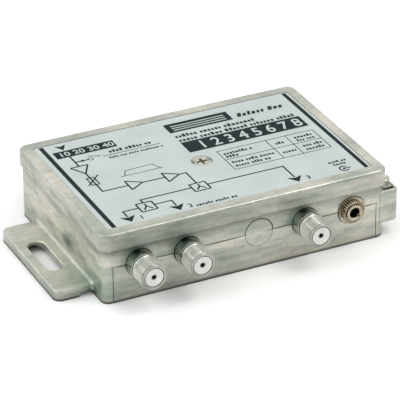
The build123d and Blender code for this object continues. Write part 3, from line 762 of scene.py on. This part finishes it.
def bored_white():
    """White plastic whose bores fall into shade."""
    finish = moulded("core_white", (0.76, 0.755, 0.705), (0.85, 0.845, 0.80), 0.42, 0.58, 0.5 * mm)
    tree, socket, colour = colour_of(finish)
    for port in ports:
        mouth = on_face(port, port + "_insulator")
        colour = spot_tinted(tree, colour, mouth, in_mm(1.15, 30, 1.15), (0.015, 0.015, 0.015), 0.60)
    tree.links.new(colour, socket)
    return finish


bronze_bright = plated("bronze_bright", (0.22, 0.16, 0.08), (0.36, 0.27, 0.14), 0.25, 0.4, 0.2 * mm)
nickel_satin = shaded_nickel()
core_white = bored_white()
for port in ports:
    turn_shell(port)
    dress(port + "_insulator", core_white)
    dress(port + "_contact", bronze_bright)

# Supply jack
# A moulded black body behind a turned bush with a pale gold plate. A flat washer and a round nut
# with a serrated rim clamp it to the wall, and a sprung leaf inside touches the plug's tip.


def toothed_gold(teeth=30):
    """The pale gold of the nut, with painted shade between the teeth of its rim and in dark painted rings on
    its face.
    """
    finish = plated("gold_toothed", (0.42, 0.36, 0.25), (0.92, 0.83, 0.66), 0.10, 0.22, 0.30 * mm)
    tree, socket, colour = colour_of(finish)
    low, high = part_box("jack_nut")
    middle = middle_of("jack_nut")
    radius = (high.x - low.x) / 2
    where = tree.nodes.new("ShaderNodeTexCoord")
    centred = tree.nodes.new("ShaderNodeMapping")
    centred.vector_type = "TEXTURE"
    centred.inputs["Location"].default_value = middle
    parts = tree.nodes.new("ShaderNodeSeparateXYZ")
    flat = tree.nodes.new("ShaderNodeCombineXYZ")
    angle = tree.nodes.new("ShaderNodeTexGradient")
    angle.gradient_type = "RADIAL"
    tree.links.new(where.outputs["Object"], centred.inputs["Vector"])
    tree.links.new(centred.outputs["Vector"], parts.inputs["Vector"])
    tree.links.new(parts.outputs["X"], flat.inputs["X"])
    tree.links.new(parts.outputs["Z"], flat.inputs["Y"])
    tree.links.new(flat.outputs["Vector"], angle.inputs["Vector"])
    tooth = worked(tree, "FRACT", worked(tree, "MULTIPLY", angle.outputs["Fac"], teeth))
    # Painted shade between the rim's teeth, and painted shade in two rings at the face's bore and near its
    # rim.
    tooth_shade = graded(tree, tooth, (0.12, 0.03), (0.40, 1.0), (0.60, 1.0), (0.88, 0.03))
    reach = away_from(tree, middle, (radius, 1.0, radius))
    rings = graded(tree, reach, (0.74, 0.12), (0.80, 1.0), (0.82, 1.0), (0.87, 0.10), (0.91, 1.0))
    rim = graded(tree, reach, (0.88, 0.0), (0.93, 1.0))
    tree.links.new(tinted(tree, tinted(tree, colour, rings), tooth_shade, rim), socket)
    return finish


gold_pale = plated("gold_pale", (0.40, 0.345, 0.250), (0.68, 0.60, 0.465), 0.12, 0.24, 0.30 * mm)
dress("jack_bush", gold_pale)
dress("jack_washer", gold_pale)
dress("jack_nut", toothed_gold())
dress("jack_body", package_black)
dress("jack_tip_spring", bronze_bright)
dress("jack_lugs", solder_bright)

# Top housing
# The upper half of the case, cast from the same zinc in one piece: the top with its rim band,
# the side walls, the slotted ear on the left and the earth terminal's block on the right.

dress("top_housing", cast_zinc)

# Label
# Satin printed film on a thin plate, stuck down in the recess of the top.
# Dark ink draws the signal's way from the input through the stages to the outputs.


def label_film():
    """Pale satin film, very slightly uneven, with the sheen of a plastic foil."""
    finish, tree, shader = new_finish("film_pale")
    patches = mottle(tree, 14 * mm, 2.0)
    shade = graded(tree, patches, (0.3, (0.465, 0.522, 0.502)), (0.7, (0.522, 0.578, 0.557)))
    tree.links.new(shade, shader.inputs["Base Color"])
    shader.inputs["Specular IOR Level"].default_value = 0.35
    tree.links.new(graded(tree, mottle(tree, 1.5 * mm), (0.3, 0.36), (0.7, 0.46)), shader.inputs["Roughness"])
    relief(tree, shader, mottle(tree, 0.6 * mm, 2.0), 0.004 * mm)
    return finish


film_pale = label_film()
dress("label_plate", film_pale)
label_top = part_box("label_plate")[1].z
ink_foot = label_top - 0.01 * mm
ink_top = label_top + 0.03 * mm
light_top = ink_top + 0.02 * mm
line_width = 0.58 * mm
fine_width = 0.28 * mm
ink_dark = moulded("ink_dark", (0.006, 0.013, 0.016), (0.012, 0.022, 0.026), 0.45, 0.6, 0.5 * mm)
ink_dark.node_tree.nodes["Principled BSDF"].inputs["Specular IOR Level"].default_value = 0.12
ink = bmesh.new()
light_ink = bmesh.new()


def mm_points(*places):
    """Places on the label, given in millimetres."""
    return [Vector((x * mm, y * mm)) for x, y in places]


def draw_line(*places, width=line_width):
    """A printed line."""
    add_sheet(ink, stroke(mm_points(*places), width), ink_foot, ink_top)


def draw_shape(*places):
    """A printed shape filled with ink."""
    add_sheet(ink, mm_points(*places), ink_foot, ink_top)


def draw_closed(*places, width=line_width):
    """The outline of a shape."""
    places = [*places, places[0]]
    for start, end in zip(places, places[1:]):
        draw_line(start, end, width=width)


def draw_bar(x0, x1, y0, y1):
    """A filled bar."""
    draw_shape((x0, y0), (x1, y0), (x1, y1), (x0, y1))


def draw_arrowhead(x, y0, y1, width=5.5):
    """A filled arrowhead that points down the label."""
    notch = y0 + 0.22 * (y1 - y0)
    draw_shape((x - width / 2, y0), (x, notch), (x + width / 2, y0), (x, y1))


def draw_numerals(mesh, text, x, y, height, width=None, top=ink_top, bold=0.0):
    """Plain numerals with their foot at a place, spread over a width if one is given."""
    size_to_height = 1.38
    curve = bpy.data.curves.new("numerals", "FONT")
    curve.body = text
    curve.size = height * mm * size_to_height
    curve.offset = bold * mm
    curve.extrude = (top - ink_foot) / 2
    letters = bpy.data.objects.new("numerals", curve)
    bpy.context.scene.collection.objects.link(letters)
    bpy.context.view_layer.update()
    flat = bpy.data.meshes.new_from_object(letters)
    spread = width * mm / letters.dimensions.x if width else 1.0
    flat.transform(Matrix.Diagonal((spread, 1, 1, 1)))
    flat.transform(Matrix.Translation((x * mm, y * mm, (ink_foot + top) / 2)))
    mesh.from_mesh(flat)
    bpy.data.objects.remove(letters)


def draw_words(x0, x1, y, height, seed, slant=0.0):
    """A row of small marks that stands for a line of small print."""
    chance = random.Random(seed)
    x = x0
    left = chance.randint(3, 8)
    while x < x1:
        width = height * chance.uniform(0.34, 0.56)
        tall = height * chance.choice((0.66, 0.66, 0.66, 0.92))
        lean = slant * tall
        draw_shape((x, y), (x + width, y), (x + width + lean, y + tall), (x + lean, y + tall))
        left -= 1
        x += width + height * (0.2 if left else 0.6)
        left = left or chance.randint(3, 8)


def draw_splitter(x0, x1, y0, y1):
    """A splitter's box with its forked sign."""
    draw_closed((x0, y0), (x1, y0), (x1, y1), (x0, y1))
    middle = (x0 + x1) / 2
    fork = (y0 + y1) / 2
    draw_line((middle, y1 - 0.9), (middle, fork + 0.2))
    draw_line((x0 + 1.3, y0 + 1.0), (middle, fork + 0.4), (x1 - 1.3, y0 + 1.0))


def draw_amplifier(x0, x1, y):
    """An amplifier's triangle that points right."""
    draw_closed((x0, y + 3.3), (x1, y), (x0, y - 3.3))


def draw_ends():
    """The two stripes down the ends of the label."""
    draw_bar(-47.4, -45.8, -31.2, 30.9)
    draw_bar(46.8, 48.3, -31.2, 30.9)


def draw_signal_way():
    """The diagram from the input arrow to the two lower splitters and the three output arrows."""
    draw_arrowhead(-40, 29.7, 26.0, 4.2)
    draw_bar(-44.5, -22.1, 20.6, 25.4)
    draw_numerals(light_ink, "10 20 30 40", -43.2, 21.6, 2.9, 19.8, light_top, 0.06)
    draw_line((-40, 20.6), (-40, 12.8))
    draw_line((-40, 16), (-35.1, 16))
    draw_shape((-38.6, 16), (-36.9, 16.8), (-36.9, 15.2))
    draw_closed(*arc((-34.2, 16), 0.9, 0, 360, 45), width=fine_width)
    draw_line((-34.4, 18.3), (-30.2, 16.6), width=fine_width * 1.4)
    draw_line((-29.6, 15.9), (-8.0, 15.9), width=fine_width)
    draw_words(-26.5, -11.5, 17.2, 2.0, seed=3)
    draw_words(-28.0, -8.5, 13.4, 1.4, seed=4)
    draw_closed((-43.2, 12.8), (-36.8, 12.8), (-40, 7.0))
    draw_line((-40, 7.0), (-40, -7.0), (-30.5, -7.0))
    draw_closed((-41.3, -1.7), (-38.7, -1.7), (-38.7, 3.6), (-41.3, 3.6), width=0.8 * line_width)
    draw_line((-42.6, -1.4), (-36.6, 4.6), width=0.8 * line_width)
    draw_amplifier(-30.5, -25.3, -7.0)
    draw_line((-25.6, -7.1), (-17.0, -7.3))
    draw_amplifier(-17.0, -11.8, -7.4)
    draw_line((-12.1, -7.5), (-9.3, -7.5), (-9.3, -15.7))
    draw_splitter(-12.2, -6.4, -21.0, -15.7)
    draw_line((-12.2, -18.0), (-31.2, -18.0), (-31.2, -20.2))
    draw_splitter(-34.0, -28.3, -25.8, -20.2)
    draw_line((-34.0, -22.8), (-39.8, -22.8), (-39.8, -26.6))
    draw_line((-28.3, -22.8), (-22.0, -22.8), (-22.0, -26.6))
    draw_line((-6.4, -18.0), (22.2, -18.0), (22.2, -26.6))
    for x in (-39.8, -22.0, 22.2):
        draw_arrowhead(x, -26.3, -30.2)
    for text, x in (("1", -36.4), ("2", -18.6), ("3", 25.6)):
        draw_numerals(ink, text, x, -29.8, 2.4, bold=0.05)


def draw_curve_sketch():
    """The small sketch of the pass band: a flat top between two slopes, over a base line."""
    draw_line((-30.4, -0.4), (-14.6, -0.4), width=fine_width)
    draw_line((-28.9, -0.4), (-27.2, 3.0), (-17.1, 3.4), (-15.6, -0.4), width=fine_width)


def draw_right_half():
    """Plain bars, rows of marks and a table of marks, with one row more near the front edge."""
    draw_bar(-1.7, 22.7, 20.9, 27.4)
    for y in (22.3, 23.8, 25.3):
        stripe = stroke(mm_points((0.2, y), (20.8, y)), 0.55 * mm)
        add_sheet(light_ink, stripe, ink_foot, light_top)
    draw_words(24.8, 43.0, 21.6, 2.9, seed=11, slant=0.3)
    draw_words(-1.4, 28.6, 16.7, 2.2, seed=12)
    draw_words(-1.4, 42.8, 13.6, 2.2, seed=13)
    draw_bar(-1.7, 44.3, 5.0, 12.9)
    draw_numerals(light_ink, "1 2 3 4 5 6 7 8", 3.2, 6.2, 5.6, 38.6, light_top, 0.10)
    draw_closed((6.7, -12.8), (43.7, -12.8), (43.7, 1.5), (6.7, 1.5), width=fine_width)
    draw_line((25.4, -12.8), (25.4, 1.5), width=fine_width)
    draw_line((33.0, -12.8), (33.0, 1.5), width=fine_width)
    draw_line((6.7, -5.3), (43.7, -5.3), width=fine_width)
    for row, (y, end) in enumerate(((-1.9, 18.6), (-4.2, 13.4), (-8.6, 23.6), (-11.3, 20.4))):
        draw_words(8.0, end, y, 1.75, seed=20 + row)
        draw_words(35.2, 41.8, y, 1.75, seed=30 + row)
    draw_words(27.4, 30.4, -3.0, 1.75, seed=41)
    draw_words(26.8, 31.4, -9.9, 1.75, seed=42)
    draw_words(37.0, 43.2, -23.6, 1.5, seed=51)
    draw_words(38.0, 43.2, -25.6, 1.5, seed=52)
    draw_words(-16.0, -1.2, -30.3, 1.7, seed=61)


def draw_jack_sign():
    """The ring and dot over the supply jack."""
    x, y = 40.2, -28.6
    dot = 0.6
    draw_line(*arc((x, y), 1.6, 40, 321, 20), width=fine_width * 2)
    draw_shape(*arc((x, y), dot, 0, 360, 30))
    draw_line((x + dot, y), (x + 2.4, y), width=fine_width * 2)


draw_ends()
draw_signal_way()
draw_curve_sketch()
draw_right_half()
draw_jack_sign()
place_piece("label_print", ink, ink_dark, "housing")
place_piece("label_light_print", light_ink, film_pale, "housing")

# Cover screw
# A countersunk machine screw with a cross recess, zinc-plated, that holds both castings together.
# Its head has painted shade down in the recess and at the left and right of its rim.


def shaded_screw_zinc():
    """Plated steel, with painted shade at the left and right of the head's rim and down in its recess."""
    finish = plated("screw_shaded", (0.50, 0.50, 0.44), (0.84, 0.84, 0.76), 0.16, 0.32, 0.25 * mm)
    tree, socket, colour = colour_of(finish)
    low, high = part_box("cover_screw")
    head = (high.x - low.x) / 2
    face = middle_of("cover_screw")
    face.z = high.z
    pit = face - head * Vector((0.12, 0, 0.2))
    pit_reach = head * Vector((0.34, 0.34, 0.5))
    colour = spot_tinted(tree, colour, pit, pit_reach, (0.20, 0.20, 0.14), 0.35)
    for hand in (-1, 1):
        rim = face + head * Vector((0.98 * hand, 0.15, 0))
        colour = spot_tinted(tree, colour, rim, head * Vector((0.5, 0.8, 1)), (0.34, 0.36, 0.32))
    tree.links.new(colour, socket)
    return finish


dress("cover_screw", shaded_screw_zinc())

# Earth terminal
# A slotted steel screw and its small clamp plate, both zinc-plated, in the pocket of the block on
# the right. The screw presses the plate down on the earth wire.

dress("earth_clamp", screw_zinc)
dress("earth_screw", screw_zinc)

# Floor, light and camera
# A plain pale table under two large soft lamps in a white room, seen from the photograph's
# place. None of these belongs to the object.


def lay_floor():
    """The table: pale, and white where the camera looks at it."""
    half = 3.0
    camera_white = 0.02
    mesh = bmesh.new()
    bmesh.ops.create_grid(mesh, x_segments=1, y_segments=1, size=half)
    made = bpy.data.meshes.new("table")
    mesh.to_mesh(made)
    mesh.free()
    table = bpy.data.objects.new("table", made)
    bpy.context.scene.collection.objects.link(table)
    finish, tree, shader = new_finish("table_white")
    path = tree.nodes.new("ShaderNodeLightPath")
    seen = path.outputs["Is Camera Ray"]
    tree.links.new(graded(tree, seen, (0.0, 0.76), (1.0, 1.0)), shader.inputs["Base Color"])
    tree.links.new(worked(tree, "MULTIPLY", seen, camera_white), shader.inputs["Emission Strength"])
    shader.inputs["Emission Color"].default_value = (1, 1, 1, 1)
    shader.inputs["Roughness"].default_value = 0.9
    shader.inputs["Specular IOR Level"].default_value = 0.0
    made.materials.append(finish)


def fill_room():
    """The room's light: brighter overhead than at the horizon, and white to the camera."""
    world = bpy.data.worlds.new("room")
    world.use_nodes = True
    tree = world.node_tree
    back = tree.nodes["Background"]
    back.inputs["Color"].default_value = (1, 1, 1, 1)
    where = tree.nodes.new("ShaderNodeTexCoord")
    split = tree.nodes.new("ShaderNodeSeparateXYZ")
    level = tree.nodes.new("ShaderNodeMapRange")
    level.inputs["To Min"].default_value = 0.56
    level.inputs["To Max"].default_value = 1.05
    path = tree.nodes.new("ShaderNodeLightPath")
    most = tree.nodes.new("ShaderNodeMath")
    most.operation = "MAXIMUM"
    tree.links.new(where.outputs["Generated"], split.inputs["Vector"])
    tree.links.new(split.outputs["Z"], level.inputs["Value"])
    tree.links.new(level.outputs["Result"], most.inputs[0])
    tree.links.new(path.outputs["Is Camera Ray"], most.inputs[1])
    tree.links.new(most.outputs[0], back.inputs["Strength"])
    bpy.context.scene.world = world


def hang_lamp(name, place, size, power, colour):
    """A large soft lamp that faces the object."""
    lamp = bpy.data.lights.new(name, "AREA")
    lamp.shape = "DISK"
    lamp.size = size
    lamp.energy = power
    lamp.color = colour
    hung = bpy.data.objects.new(name, lamp)
    hung.location = place
    hung.rotation_mode = "QUATERNION"
    hung.rotation_quaternion = (-Vector(place)).to_track_quat("-Z", "Y")
    bpy.context.scene.collection.objects.link(hung)


def set_camera():
    """The photograph's view, from its fitted angles and distance."""
    azimuth = math.radians(-25.657)
    elevation = math.radians(28.889)
    roll = math.radians(-0.377)
    place = in_mm(-0.52, 8.317, 954.5)
    right = Vector((math.cos(azimuth), math.sin(azimuth), 0))
    out = math.cos(elevation)
    back = Vector((math.sin(azimuth) * out, -math.cos(azimuth) * out, math.sin(elevation)))
    turn = Matrix((right, back.cross(right), back)).transposed() @ Matrix.Rotation(roll, 3, "Z")
    lens = bpy.data.cameras.new("camera")
    lens.lens = 247.55
    lens.sensor_width = 36.0
    lens.clip_start = 0.05
    lens.clip_end = 20.0
    camera = bpy.data.objects.new("camera", lens)
    camera.matrix_world = Matrix.Translation(turn @ place) @ turn.to_4x4()
    bpy.context.scene.collection.objects.link(camera)
    bpy.context.scene.camera = camera


lay_floor()
fill_room()
hang_lamp("key_lamp", place=(0.50, -0.25, 1.0), size=0.55, power=2.6, colour=(1.0, 0.97, 0.92))
hang_lamp("left_lamp", place=(-0.9, 0.25, 0.5), size=1.6, power=6.0, colour=(0.97, 1.0, 1.0))
set_camera()
bpy.context.scene.view_settings.view_transform = "Standard"
